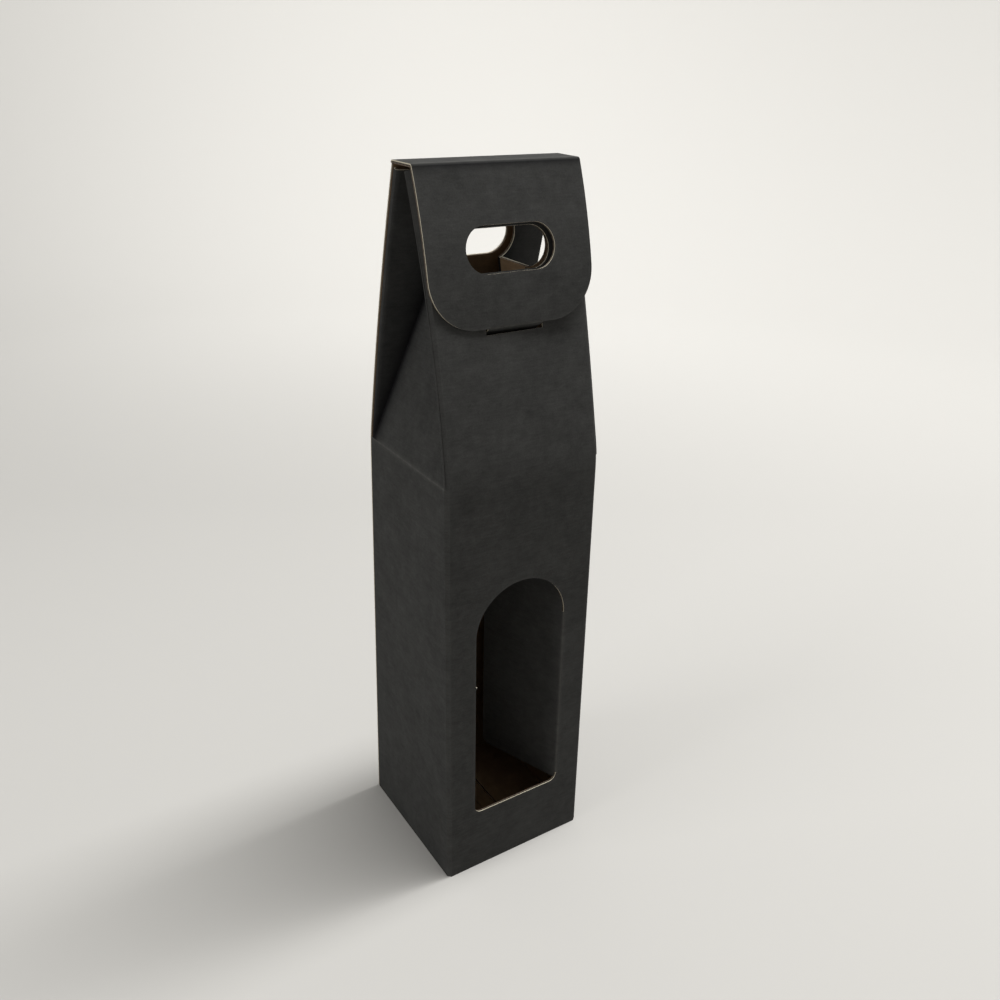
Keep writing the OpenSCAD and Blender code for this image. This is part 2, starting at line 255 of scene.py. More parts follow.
def slice_off(obj, at, normal):
    """Cuts everything beyond a line away and closes the board."""
    only(obj)
    bpy.ops.object.mode_set(mode="EDIT")
    bpy.ops.mesh.select_all(action="SELECT")
    bpy.ops.mesh.bisect(plane_co=(at[0], at[1], 0), plane_no=Vector((*normal, 0)).normalized(),
                        use_fill=True, clear_outer=True)
    bpy.ops.object.mode_set(mode="OBJECT")
    return obj


def line_gap(co, line):
    """Distance in the flat from a line: ("u", value), ("v", value) or two points."""
    if line[0] == "u":
        return abs(co.x - line[1])
    if line[0] == "v":
        return abs(co.y - line[1])
    (u0, v0), (u1, v1) = line
    du, dv = u1 - u0, v1 - v0
    return abs((co.x - u0) * dv - (co.y - v0) * du) / math.hypot(du, dv)


def finish_board(obj, rubbed=(), valleys=(), joined=(), corner=0.0, spread=1.0):
    """Gives the flat board its three surfaces, and marks the run of its cut edges, how far each point is from
    a rubbed edge and from a fold line that gets painted shade, and where the board goes on in the next piece.
    The painted shade stays darkest up to corner beside its line, where the black faces of the fold meet, and
    spread draws it out."""
    mesh = obj.data
    mesh.materials.clear()
    for m in (BLACK, KRAFT, EDGE):
        mesh.materials.append(m)
    bm = bmesh.new()
    bm.from_mesh(mesh)
    bmesh.ops.remove_doubles(bm, verts=bm.verts, dist=1e-4)
    run = bm.verts.layers.float.new("run")
    depth = bm.verts.layers.float.new("depth")
    rub = bm.verts.layers.float.new("rub")
    valley = bm.verts.layers.float.new("valley")
    bm.normal_update()
    for f in bm.faces:
        f.material_index = OUTSIDE if f.normal.z > 0.5 else INSIDE if f.normal.z < -0.5 else RIM
        goes_on = any(all(line_gap(v.co, line) < ON_LINE for v in f.verts) for line in joined)
        if f.material_index == RIM and goes_on:
            f.material_index = OUTSIDE
    rim = set()
    along = {}
    for e in bm.edges:
        kinds = {f.material_index for f in e.link_faces}
        if kinds == {OUTSIDE, RIM}:
            for a, b in ((e.verts[0], e.verts[1]), (e.verts[1], e.verts[0])):
                along.setdefault(a, []).append(b)
                rim.add(a)
    distance = {}
    todo = sorted(rim, key=lambda v: (round(v.co.x, 3), round(v.co.y, 3)))
    for start in todo:
        if start in distance:
            continue
        distance[start] = 0.0
        here, total = start, 0.0
        while True:
            ahead = [n for n in along[here] if n not in distance]
            if not ahead:
                break
            total += (ahead[0].co - here.co).length
            here = ahead[0]
            distance[here] = total
    by_place = {(round(v.co.x, 2), round(v.co.y, 2)): d for v, d in distance.items()}
    tree = KDTree(max(1, len(distance)))
    for i, v in enumerate(distance):
        tree.insert((v.co.x, v.co.y, 0), i)
    tree.balance()
    for v in bm.verts:
        v[run] = by_place.get((round(v.co.x, 2), round(v.co.y, 2)), 0.0)
        v[depth] = v.co.z / BOARD
        gap = tree.find((v.co.x, v.co.y, 0))[2] if distance else FAR
        v[rub] = min([gap + RIM_WEAR, FAR] + [line_gap(v.co, line) for line in rubbed])
        # painted shade: distance from the nearest marked fold line, moved by corner and drawn out by spread
        v[valley] = (min([FAR * spread] + [line_gap(v.co, line) for line in valleys]) - corner) / spread
    bm.to_mesh(mesh)
    bm.free()
    return obj


def bend(obj, where):
    """Moves every point of the flat board to its place; where(u, v, w) gives millimetres."""
    for vert in obj.data.vertices:
        vert.co = Vector(where(vert.co.x, vert.co.y, vert.co.z)) * MM
    obj.data.update()
    only(obj)
    bpy.ops.object.mode_set(mode="EDIT")
    bpy.ops.mesh.select_all(action="SELECT")
    bpy.ops.mesh.normals_make_consistent(inside=False)
    bpy.ops.object.mode_set(mode="OBJECT")
    bpy.ops.object.shade_smooth_by_angle(angle=SMOOTH_UNDER)
    return obj


# Materials
# SHADE_INK is painted shade, laid over the ink beside marked fold lines
INK, WORN_INK, SHADE_INK = (0.0435, 0.0435, 0.042, 1), (0.11, 0.108, 0.1, 1), (0.004, 0.004, 0.005, 1)
KRAFT_BROWN, FLUTE_BROWN, FLUTE_GAP_SHADE = (0.2, 0.132, 0.074, 1), (0.13, 0.096, 0.066, 1), (0.02, 0.015, 0.011, 1)
PALE_CORE, EDGE_SKIN = (0.62, 0.57, 0.44, 1), (0.05, 0.048, 0.044, 1)
WEAR_FALL, WEAR_MOST = 1.3, 0.9    # how fast wear fades beside a rubbed line, and how much is at it
SHADE_FALL, SHADE_MOST = 0.5, 0.85   # the same for the painted shade beside a marked fold line
FLUTE_PITCH, FLUTE_RISE, FLUTE_PAPER = 3.2, 0.3, 0.12       # millimetres, then shares of the board
INNER_PAPER, CORE_FROM, SKIN_FROM = 0.15, 0.68, 0.95


def group(name, inputs, outputs):
    g = bpy.data.node_groups.new(name, "ShaderNodeTree")
    for n, kind, default in inputs:
        s = g.interface.new_socket(n, in_out="INPUT", socket_type=kind)
        if default is not None:
            s.default_value = default
    for n, kind in outputs:
        g.interface.new_socket(n, in_out="OUTPUT", socket_type=kind)
    a = g.nodes.new("NodeGroupInput")
    b = g.nodes.new("NodeGroupOutput")
    return g, a, b


def math_node(tree, op, a, b=None, c=None, clamp=False):
    n = tree.nodes.new("ShaderNodeMath")
    n.operation, n.use_clamp = op, clamp
    for i, v in enumerate((a, b, c)):
        if v is None:
            continue
        if isinstance(v, (int, float)):
            n.inputs[i].default_value = v
        else:
            tree.links.new(v, n.inputs[i])
    return n.outputs[0]


def mix_colour(tree, factor, a, b):
    n = tree.nodes.new("ShaderNodeMix")
    n.data_type = "RGBA"
    for socket, v in ((n.inputs[0], factor), (n.inputs[6], a), (n.inputs[7], b)):
        if isinstance(v, (int, float, tuple)):
            socket.default_value = v
        else:
            tree.links.new(v, socket)
    return n.outputs[2]


def noise(tree, vector, scale, detail=4.0, rough=0.55):
    n = tree.nodes.new("ShaderNodeTexNoise")
    n.inputs["Scale"].default_value = scale
    n.inputs["Detail"].default_value = detail
    n.inputs["Roughness"].default_value = rough
    tree.links.new(vector, n.inputs["Vector"])
    return n.outputs["Fac"]


def stretched(tree, vector, scale):
    n = tree.nodes.new("ShaderNodeMapping")
    n.inputs["Scale"].default_value = scale
    tree.links.new(vector, n.inputs["Vector"])
    return n.outputs[0]


def attribute(tree, name):
    n = tree.nodes.new("ShaderNodeAttribute")
    n.attribute_type, n.attribute_name = "GEOMETRY", name
    return n.outputs["Fac"]


def make_paper_group():
    """Cloudy pulp, fibres and specks of a liner: how light it is, and its height."""
    inputs = [("Position", "NodeSocketVector", None), ("Mottle", "NodeSocketFloat", 0.3),
              ("Fibres", "NodeSocketFloat", 0.3)]
    g, a, b = group("paper liner", inputs, [("Shade", "NodeSocketFloat"), ("Height", "NodeSocketFloat")])
    pos = a.outputs["Position"]
    cloud = noise(g, pos, 210.0, 5.0, 0.6)
    patch = noise(g, pos, 60.0, 4.0, 0.6)
    fibre = noise(g, stretched(g, pos, (140.0, 140.0, 900.0)), 1.0, 3.0, 0.6)
    speck = noise(g, pos, 1500.0, 2.0, 0.5)
    cloudy = math_node(g, "MULTIPLY", math_node(g, "SUBTRACT", cloud, 0.5), a.outputs["Mottle"])
    patchy = math_node(g, "MULTIPLY", math_node(g, "SUBTRACT", patch, 0.5), a.outputs["Mottle"])
    fibrous = math_node(g, "MULTIPLY", math_node(g, "SUBTRACT", fibre, 0.5), a.outputs["Fibres"])
    grainy = math_node(g, "MULTIPLY", math_node(g, "SUBTRACT", speck, 0.5), a.outputs["Fibres"])
    total = math_node(g, "ADD", math_node(g, "ADD", cloudy, patchy), math_node(g, "ADD", fibrous, grainy))
    g.links.new(math_node(g, "ADD", total, 1.0), b.inputs["Shade"])
    height = math_node(g, "ADD", math_node(g, "MULTIPLY", fibre, 0.6), math_node(g, "MULTIPLY", speck, 0.4))
    g.links.new(height, b.inputs["Height"])
    return g


def new_material(name):
    m = bpy.data.materials.new(name)
    m.use_nodes = True
    tree = m.node_tree
    shader = tree.nodes["Principled BSDF"]
    return m, tree, shader


def object_position(tree):
    return tree.nodes.new("ShaderNodeTexCoord").outputs["Object"]


def use_paper(tree, mottle, fibres):
    n = tree.nodes.new("ShaderNodeGroup")
    n.node_tree = PAPER
    n.inputs["Mottle"].default_value = mottle
    n.inputs["Fibres"].default_value = fibres
    tree.links.new(object_position(tree), n.inputs["Position"])
    return n.outputs["Shade"], n.outputs["Height"]


def bump(tree, shader, height, strength, distance):
    n = tree.nodes.new("ShaderNodeBump")
    n.inputs["Strength"].default_value = strength
    n.inputs["Distance"].default_value = distance
    tree.links.new(height, n.inputs["Height"])
    tree.links.new(n.outputs["Normal"], shader.inputs["Normal"])


def scaled_colour(tree, colour, shade):
    n = tree.nodes.new("ShaderNodeVectorMath")
    n.operation = "SCALE"
    n.inputs[0].default_value = colour[:3]
    tree.links.new(shade, n.inputs["Scale"])
    return n.outputs[0]


def fading(tree, name, fall):
    """One at a marked line, fading with the millimetres from it at the rate fall."""
    gap = math_node(tree, "MAXIMUM", attribute(tree, name), 0.0)
    return math_node(tree, "EXPONENT", math_node(tree, "MULTIPLY", gap, -fall))


def black_liner():
    m, t, shader = new_material("black liner")
    shade, height = use_paper(t, 0.52, 0.42)
    plain = scaled_colour(t, INK, shade)
    near_edge = fading(t, "rub", WEAR_FALL)
    rub = math_node(t, "MULTIPLY", near_edge, noise(t, object_position(t), 260.0), clamp=True)
    worn = mix_colour(t, math_node(t, "MULTIPLY", rub, WEAR_MOST, clamp=True), plain, WORN_INK)
    # Painted shade: the ink darkens towards the marked fold lines, standing in for the shade inside the folds
    near_valley = fading(t, "valley", SHADE_FALL)
    shaded_ink = mix_colour(t, math_node(t, "MULTIPLY", near_valley, SHADE_MOST), worn, SHADE_INK)
    t.links.new(shaded_ink, shader.inputs["Base Color"])
    t.links.new(math_node(t, "ADD", math_node(t, "MULTIPLY", height, 0.16), 0.6), shader.inputs["Roughness"])
    shader.inputs["Specular IOR Level"].default_value = 0.02
    bump(t, shader, height, 0.35, 0.0002)
    return m


def kraft_liner():
    m, t, shader = new_material("kraft liner")
    shade, height = use_paper(t, 0.4, 0.4)
    t.links.new(scaled_colour(t, KRAFT_BROWN, shade), shader.inputs["Base Color"])
    shader.inputs["Roughness"].default_value = 0.85
    shader.inputs["Specular IOR Level"].default_value = 0.25
    bump(t, shader, height, 0.3, 0.0002)
    return m


def cut_edge():
    """Two liners with the fluted paper between them, drawn along the run of the edge; the gaps between the
    flutes get a near-black painted shade.
    """
    m, t, shader = new_material("cut edge")
    depth, run = attribute(t, "depth"), attribute(t, "run")
    wave = math_node(t, "SINE", math_node(t, "MULTIPLY", run, 2 * math.pi / FLUTE_PITCH))
    wave_at = math_node(t, "ADD", math_node(t, "MULTIPLY", wave, FLUTE_RISE), 0.5)
    near = math_node(t, "ABSOLUTE", math_node(t, "SUBTRACT", depth, wave_at))
    flute = math_node(t, "LESS_THAN", near, FLUTE_PAPER)
    inner = math_node(t, "LESS_THAN", depth, INNER_PAPER)
    outer = math_node(t, "GREATER_THAN", depth, CORE_FROM)
    brown = math_node(t, "MAXIMUM", flute, inner)
    shade = math_node(t, "ADD", math_node(t, "MULTIPLY", noise(t, object_position(t), 500.0), 0.5), 0.75)
    # painted shade in the gaps between the flutes, brown where the fluted paper is
    flutes_and_gap_shade = mix_colour(t, brown, FLUTE_GAP_SHADE, scaled_colour(t, FLUTE_BROWN, shade))
    pale = mix_colour(t, outer, flutes_and_gap_shade, scaled_colour(t, PALE_CORE, shade))
    skin = mix_colour(t, math_node(t, "GREATER_THAN", depth, SKIN_FROM), pale, EDGE_SKIN)
    t.links.new(skin, shader.inputs["Base Color"])
    shader.inputs["Roughness"].default_value = 0.9
    return m


PAPER = make_paper_group()
BLACK, KRAFT, EDGE = black_liner(), kraft_liner(), cut_edge()


# Front and back
def folded_panel(top, bow, side, raw_left=False):
    """Where a point of the front (side -1) or back (side 1) lies. Past FLAT_X the board turns into the
    side fold."""
    def where(u, v, w):
        x = max(-HALF_W, min(HALF_W, u))
        y, z, ny, nz = smooth_section(v, top, bow(x))
        if raw_left and u < 0:
            a, cx = 0.0, u
        else:
            a = max(0.0, abs(u) - FLAT_X) / FOLD_R
            cx = math.copysign(min(abs(u), FLAT_X), u)
        cy, cz = y - ny * FOLD_R, z - nz * FOLD_R
        r = FOLD_IN + w
        px = cx + math.copysign(r * math.sin(a), u)
        py, pz = cy + ny * r * math.cos(a), cz + nz * r * math.cos(a)
        return px, side * py, max(pz, 0.0)
    return where


ARC_U = FOLD_R * math.pi / 2
WORN_IN = 1.4                      # the worn line of a side fold, from the fold's start
BACK_RISE, RAW_IN = 0.35, 0.3      # the back reaches up into the strip's fold, and its raw edge is set in


def make_front():
    obj = sheet("front", -FLAT_X - ARC_U, FLAT_X + ARC_U, 0, panel_length(FRONT_TOP), step_v=TALL_PITCH)
    cut(obj, disc(0, WINDOW_TOP - WINDOW_W / 2, WINDOW_W / 2, sides=128))
    half = WINDOW_W / 2
    opening = rounded_slab(-half, half, WINDOW_BOTTOM, WINDOW_TOP - half, WINDOW_R, {(-1, -1), (1, -1)})
    cut(opening, slab(-half - 1, NICK_L - half, NICK_AT - NICK_W / 2, NICK_AT + NICK_W / 2))
    cut(obj, opening)
    cut(obj, slab(half - 1, half + WINDOW_TANGENT, WINDOW_BOTTOM + WINDOW_R, WINDOW_TOP - half))
    cut(obj, disc(0, hole_at(FRONT_TOP, front_bow, HOLE_Z), HOLE_H / 2, FRONT_HOLE_W - HOLE_H))
    slot_v = hole_at(FRONT_TOP, front_bow, flap_point(FLAP_L)[1])
    cut(obj, slab(-SLOT_W / 2, SLOT_W / 2, slot_v - SLOT_BELOW, slot_v + SLOT_ABOVE))
    finish_board(obj, [("u", FLAT_X + WORN_IN), ("u", -FLAT_X - WORN_IN)],
                 joined=[("u", FLAT_X + ARC_U), ("u", -FLAT_X - ARC_U)])
    return bend(obj, folded_panel(FRONT_TOP, front_bow, -1))


def make_back():
    total = panel_length(BACK_TOP) + BACK_RISE
    obj = sheet("back", RAW_IN - HALF_W, FLAT_X + ARC_U, 0, total, step_v=TALL_PITCH)
    cut(obj, disc(0, hole_at(BACK_TOP, back_bow, HOLE_Z), HOLE_H / 2, HOLE_W - HOLE_H))
    finish_board(obj, [("u", FLAT_X + WORN_IN)], joined=[("u", FLAT_X + ARC_U)])
    return bend(obj, folded_panel(BACK_TOP, back_bow, 1, raw_left=True))


# Closing flap
FLAP_LIFT = math.radians(0.2)      # the flap stands off the front by this much


def flap_angle(s):
    chord = math.atan((SHOULDER_D / 2 - FRONT_TOP[0]) / (FRONT_TOP[1] - SHOULDER_H))
    return chord + FLAP_LIFT + FLAP_L / FLAP_BEND_R / 2 - s / FLAP_BEND_R


def flap_point(s):
    a0, a = flap_angle(0), flap_angle(s)
    return (STRIP_D / 2 + FLAP_BEND_R * (math.cos(a) - math.cos(a0)),
            TOP_H - FLAP_BEND_R * (math.sin(a0) - math.sin(a)))


def flap_place(u, v, w):
    """v is minus the length along the flap from its crease."""
    s, back = -v, BOARD - w
    if abs(u) < TAB_W / 2 + ON_LINE and abs(s - FLAP_L + TAB_TANGENT) < ON_LINE:
        s -= TAB_CRUSH * back / BOARD
    y, z = flap_point(s)
    a = flap_angle(s)
    return u, -(y - back * math.cos(a)), z - back * math.sin(a)


FLAP_TURN = math.pi / 2 - flap_angle(0)
FLAP_TANGENT = FOLD_R * math.tan(FLAP_TURN / 2)
TAB_ANGLE = math.radians(TAB_DIP)
TAB_TURN = math.pi / 2 - TAB_ANGLE + flap_angle(FLAP_L)
TAB_TANGENT = FOLD_R * math.tan(TAB_TURN / 2)


def make_flap():
    obj = sheet("flap", -HALF_W, HALF_W, -FLAP_L, -FLAP_TANGENT)
    keep = rounded_slab(-HALF_W, HALF_W, -FLAP_L, 20, FLAP_R, {(-1, -1), (1, -1)})
    cut(obj, keep, "INTERSECT")
    cut(obj, disc(0, -FLAP_HOLE_DROP, FLAP_HOLE_H / 2, FLAP_HOLE_W - FLAP_HOLE_H))
    cut(obj, slab(-TAB_W / 2, TAB_W / 2, -FLAP_L - 5, TAB_TANGENT - FLAP_L))
    # Painted shade: a dark line on the flap just below its crease with the strip
    finish_board(obj, valleys=[("v", -FLAP_TANGENT)], corner=-CREASE_SHADE_EASE,
                 joined=[("v", -FLAP_TANGENT), ("v", TAB_TANGENT - FLAP_L)])
    return bend(obj, flap_place)


def turning_span(first, last):
    """Points between which a fold turns when its joint moves, from the ends of its black face. Before the one
    and after the other the whole thickness stays with its panel, down to the kraft corner."""
    a, b = Vector(first), Vector(last)
    share = BOARD / (2 * FOLD_R)
    return a.lerp(b, share) * MM, a.lerp(b, 1 - share) * MM


def arc_piece(name, u0, u1, centre, start, turn, across=PITCH, steps=8, shaded_end=False):
    """Board that turns round a fold along X. start is the angle of its black normal from +Y, turn is signed.
    With shaded_end, the fold gets a painted shade line at its far end, standing in for the shade under the
    crease. Gives the piece and its turning span."""
    length = abs(turn) * FOLD_R
    obj = sheet(name, u0, u1, 0, length, across, length / steps)
    ends = [("v", 0), ("v", length)]
    # painted shade line at the far end, in place of wear in the middle
    if shaded_end:
        finish_board(obj, ends[:1], valleys=ends[1:], joined=ends, corner=-CREASE_SHADE_EASE)
    else:
        finish_board(obj, [("v", length / 2)], joined=ends)

    def where(u, v, w):
        a = start + turn * v / length
        r = FOLD_IN + w
        return u, centre[0] + r * math.cos(a), centre[1] + r * math.sin(a)
    span = turning_span(where(0, 0, BOARD), where(0, length, BOARD))
    return bend(obj, where), span


def back_lean_top():
    _, _, ny, nz = smooth_section(panel_length(BACK_TOP) - 1, BACK_TOP, BACK_BOW)
    return math.atan2(nz, ny)


STRIP_TURN = math.pi / 2 - back_lean_top()
STRIP_BACK = STRIP_D / 2 - FOLD_R * math.tan(STRIP_TURN / 2)
STRIP_FRONT = FLAP_TANGENT - STRIP_D / 2


def make_strip():
    obj = sheet("strip", -HALF_W, HALF_W, STRIP_FRONT, STRIP_BACK, step_v=FINE_PITCH)
    ends = [("v", STRIP_FRONT), ("v", STRIP_BACK)]
    finish_board(obj, ends, joined=ends)
    return bend(obj, lambda u, v, w: (u, v, TOP_H - BOARD + w))


def make_strip_crease():
    centre = (STRIP_BACK, TOP_H - FOLD_R)
    return arc_piece("strip_fold", -HALF_W, HALF_W, centre, math.pi / 2 - STRIP_TURN, STRIP_TURN)


def make_flap_crease():
    centre = (STRIP_FRONT, TOP_H - FOLD_R)
    return arc_piece("flap_fold", -HALF_W, HALF_W, centre, math.pi / 2, FLAP_TURN, shaded_end=True)


def make_tab():
    """Tab from the end of its fold, sloping down into the box."""
    obj = sheet("tab", -TAB_W / 2, TAB_W / 2, TAB_TANGENT, TAB_L, FINE_PITCH, BOARD)
    cut(obj, rounded_slab(-TAB_W / 2, TAB_W / 2, -5, TAB_L, TAB_R, {(-1, 1), (1, 1)}), "INTERSECT")
    finish_board(obj, joined=[("v", TAB_TANGENT)])
    y0, z0 = flap_point(FLAP_L)
    c, s = math.cos(TAB_ANGLE), math.sin(TAB_ANGLE)

    def where(u, v, w):
        up = BOARD - w
        if v < TAB_TANGENT + ON_LINE:
            v += TAB_CRUSH * up / BOARD
        return -u, -y0 + v * c + up * s, z0 - v * s + up * c
    return bend(obj, where)


def make_tab_crease():
    y0, z0 = flap_point(FLAP_L)
    c, s = math.cos(TAB_ANGLE), math.sin(TAB_ANGLE)
    centre = (-y0 + TAB_TANGENT * c + FOLD_R * s, z0 - TAB_TANGENT * s + FOLD_R * c)
    start = math.pi - flap_angle(FLAP_L)
    return arc_piece("tab_fold", -TAB_W / 2, TAB_W / 2, centre, start, TAB_TURN, FINE_PITCH)


# Side walls and gussets
def inner_line(v, top, bow, x):
    """Middle of a side fold: FOLD_R inside the outer face."""
    y, z, ny, nz = smooth_section(v, top, bow(x))
    return y - ny * FOLD_R, z - nz * FOLD_R


SIDE_STRIPS = 25                   # a side wall is divided this often from front to back


def make_side(sign):
    """Side wall between the folds of front and back; on the left its back edge lies FOLD_IN further back."""
    name = "left_side" if sign < 0 else "right_side"
    obj = sheet(name, 0, 1, 0, SHOULDER_H, 1 / SIDE_STRIPS, TALL_PITCH)
    finish_board(obj, [("v", SHOULDER_H)], joined=[("v", SHOULDER_H), ("u", 0), ("u", 1)])

    def where(u, v, w):
        yf = inner_line(v / math.cos(LEAN), FRONT_TOP, front_bow, sign * HALF_W)[0]
        yb = inner_line(v / math.cos(LEAN), BACK_TOP, back_bow, sign * HALF_W)[0]
        if sign < 0:
            yb += FOLD_IN
        y = -yf + (yf + yb) * u
        return sign * (HALF_W - BOARD + w), y, v
    return bend(obj, where)


GUSSET_TOP = FRONT_TOP[1] - BOARD / 2
HEAD_FRONT = -inner_line(hole_at(FRONT_TOP, front_bow, GUSSET_TOP), FRONT_TOP, front_bow, 0)[0]
HEAD_BACK = inner_line(hole_at(BACK_TOP, back_bow, GUSSET_TOP), BACK_TOP, back_bow, 0)[0]
SHOULDER_IN = SHOULDER_D / 2 - BOARD - INSIDE_GAP
TIP_Y = (HEAD_FRONT + HEAD_BACK) / 2
WING_TOP_W = math.sqrt(SHOULDER_IN ** 2 - ((HEAD_BACK - HEAD_FRONT) / 2) ** 2)
REACH = {-1: WING_TOP_W - 1.2, 1: WING_TOP_W + 2.6}      # the right gusset is pushed in further
WING_HOLE_IN, WING_HOLE_OUT = 4.6, 9.0                   # ends of the hole in a wing, beside the gusset's
WING_STEPS, WING_PITCH_U, WING_PITCH_V = 48, 1.0, 2.6
WING_LAP = math.radians(8)         # a wing's fold ends this much before the side
TIP_END = 0.97                     # the tip is cut off just below its point
WING_L = GUSSET_TOP - SHOULDER_H
GUSSET_CORNER = 2.2                # the painted shade of the pocket stays darkest up to this far from the fold line, where the black faces of wing and triangle meet
WING_SHADE, TRIANGLE_SHADE = 4.5, 1.8            # how far the painted shade of the pocket's folds spreads over them


def fold_line(side, sign, h, shift=0.0):
    """Middle of the fold between a gable panel and its wing at share h of the wing's height."""
    top, bow = (FRONT_TOP, front_bow) if side < 0 else (BACK_TOP, back_bow)
    z = SHOULDER_H + h * WING_L
    s = find_length(WALL_L - 4, lambda q: inner_line(q, top, bow, sign * HALF_W)[1], z)
    y = inner_line(s, top, bow, sign * HALF_W)[0] - shift
    return Vector((sign * FLAT_X, side * y, z))


def make_wing(side, sign):
    """Wing of a gusset: its fold on the gable panel, the flat part and its cut-out for the hand."""
    ends = {-1: "front", 1: "back"}[side]
    name = ("left_" if sign < 0 else "right_") + ends + "_wing"
    seam = side > 0 and sign < 0
    shift = BOARD + SEAM_GAP if seam else 0.0
    turn_end = math.pi if seam else math.pi / 2
    tip = Vector((sign * (FLAT_X - REACH[sign]), TIP_Y, GUSSET_TOP))
    foot = fold_line(side, sign, 0.0, shift)
    folds = [fold_line(side, sign, k / WING_STEPS, shift) for k in range(WING_STEPS + 1)]

    def between(rows, h):
        k = max(0.0, min(1.0, h)) * WING_STEPS
        i = min(WING_STEPS - 1, int(k))
        return rows[i].lerp(rows[i + 1], k - i)

    arc = FOLD_R * (turn_end - WING_LAP)
    obj = sheet(name, -arc, REACH[sign], 0, WING_L, WING_PITCH_U, WING_PITCH_V)
    slice_off(obj, (0, 0), (WING_L, -REACH[sign]))
    near = HALF_W - BOARD + (GUSSET_HOLE_H - GUSSET_HOLE_W) / 2 - WING_HOLE_IN + side * GUSSET_HOLE_SHIFT
    v_mid = HOLE_Z - SHOULDER_H
    cut(obj, disc(near, v_mid, GUSSET_HOLE_H / 2))
    cut(obj, slab(near, REACH[sign] + WING_HOLE_OUT, v_mid - GUSSET_HOLE_H / 2, v_mid + GUSSET_HOLE_H / 2))
    slant = ((0, 0), (REACH[sign], WING_L))
    # Painted shade: the back wing darkens towards its fold with the triangle, spread far into the pocket
    valleys = [slant] if side > 0 else []
    finish_board(obj, valleys=valleys, joined=[("u", -arc), slant], corner=GUSSET_CORNER, spread=WING_SHADE)

    def normal_at(h, aside=0.02):
        h = max(aside, min(1 - aside, h))
        up = (between(folds, h + aside) - between(folds, h - aside)).normalized()
        across = (foot.lerp(tip, h) - between(folds, h)).normalized()
        n = up.cross(across).normalized()
        return n if n.y * side < 0 else -n

    normals = [normal_at(k / WING_STEPS) for k in range(WING_STEPS + 1)]

    def where(u, v, w):
        h = v / WING_L
        n = between(normals, h).normalized()
        centre = between(folds, h)
        if u <= 0:
            side_way = Vector((sign, 0, 0))
            a = -u / FOLD_R
            d = n * math.cos(a) + (side_way - n * side_way.dot(n)).normalized() * math.sin(a)
            return centre + d * (FOLD_IN + w)
        share = min(1.0, u / max(1e-6, h * REACH[sign]))
        on_line = foot.lerp(tip, h)
        p = (centre + n * FOLD_IN).lerp(on_line, share)
        return p + n * w
    return bend(obj, where)


def make_gusset(sign):
    """Triangle that leans in from the side wall, in two parts with the hole for the hand between them."""
    tip = Vector((sign * (FLAT_X - REACH[sign]), TIP_Y, GUSSET_TOP))
    ff, fb = fold_line(-1, sign, 0.0), fold_line(1, sign, 0.0, BOARD + SEAM_GAP if sign < 0 else 0.0)
    base = fb - ff
    half = base.length / 2
    mid = (ff + fb) / 2
    across = base.normalized()
    up = tip - mid
    length = up.length
    up.normalize()
    n = up.cross(across).normalized()
    if n.x * sign < 0:
        n = -n
    turn = math.acos(max(-1, min(1, n.x * sign)))
    hole_low = length * (HOLE_Z - GUSSET_HOLE_H / 2 - SHOULDER_H) / WING_L
    hole_high = length * (HOLE_Z + GUSSET_HOLE_H / 2 - SHOULDER_H) / WING_L
    start = mid + n * FOLD_IN
    side_word = "left_" if sign < 0 else "right_"

    def where(u, v, w):
        if v < 0:
            a = -v / FOLD_R
            d = n * math.cos(a) - up * math.sin(a)
            return mid + across * u + d * (FOLD_IN + w)
        return start + across * u + up * v + n * w

    def slanted(name, v0, v1):
        obj = sheet(side_word + name, -half, half, v0, v1, step_v=MID_PITCH)
        slice_off(obj, (half, 0), (length, half))
        return slice_off(obj, (-half, 0), (-length, half))

    fold_end = -turn * FOLD_R
    slants = [((half, 0), (0, length)), ((-half, 0), (0, length))]
    lower = slanted("triangle", fold_end, hole_low)
    # Painted shade: the triangle darkens towards its fold with the back wing
    finish_board(lower, [("v", fold_end)], valleys=slants[:1], joined=slants + [("v", fold_end)],
                 corner=GUSSET_CORNER, spread=TRIANGLE_SHADE)
    bend(lower, where)
    upper = slanted("triangle_tip", hole_high, length * TIP_END)
    # Painted shade along the tip's fold with the back wing
    finish_board(upper, valleys=slants[:1], joined=slants)
    bend(upper, where)
    return lower, upper


# Window cut-out
def wall_place(x, up, out):
    """Point of the leaning front wall: up along its outer face, out from it."""
    y = BASE_D / 2 - up * math.sin(LEAN) + out * math.cos(LEAN)
    z = up * math.cos(LEAN) + out * math.sin(LEAN)
    return x, -y, z


def make_window_flap():
    half, kerf = WINDOW_W / 2, WINDOW_KERF
    free_edge = kerf - half
    obj = sheet("window_cutout", free_edge, half - WINDOW_TANGENT, WINDOW_BOTTOM, WINDOW_TOP, MID_PITCH)
    outline = rounded_slab(free_edge, half + 5, WINDOW_BOTTOM + kerf, WINDOW_TOP - half, WINDOW_R,
                           {(-1, -1)})
    cut(outline, disc(0, WINDOW_TOP - half, half - kerf, sides=128), "UNION")
    cut(obj, outline, "INTERSECT")
    finish_board(obj, [("u", half)], joined=[("u", half - WINDOW_TANGENT)])
    c, s = math.cos(WINDOW_TURN), math.sin(WINDOW_TURN)

    def where(u, v, w):
        along, back = half - u, BOARD - w
        if along < WINDOW_TANGENT + ON_LINE:
            along += WINDOW_CRUSH * back / BOARD
        return wall_place(half - along * c + back * s, v, -along * s - back * c)
    return bend(obj, where)


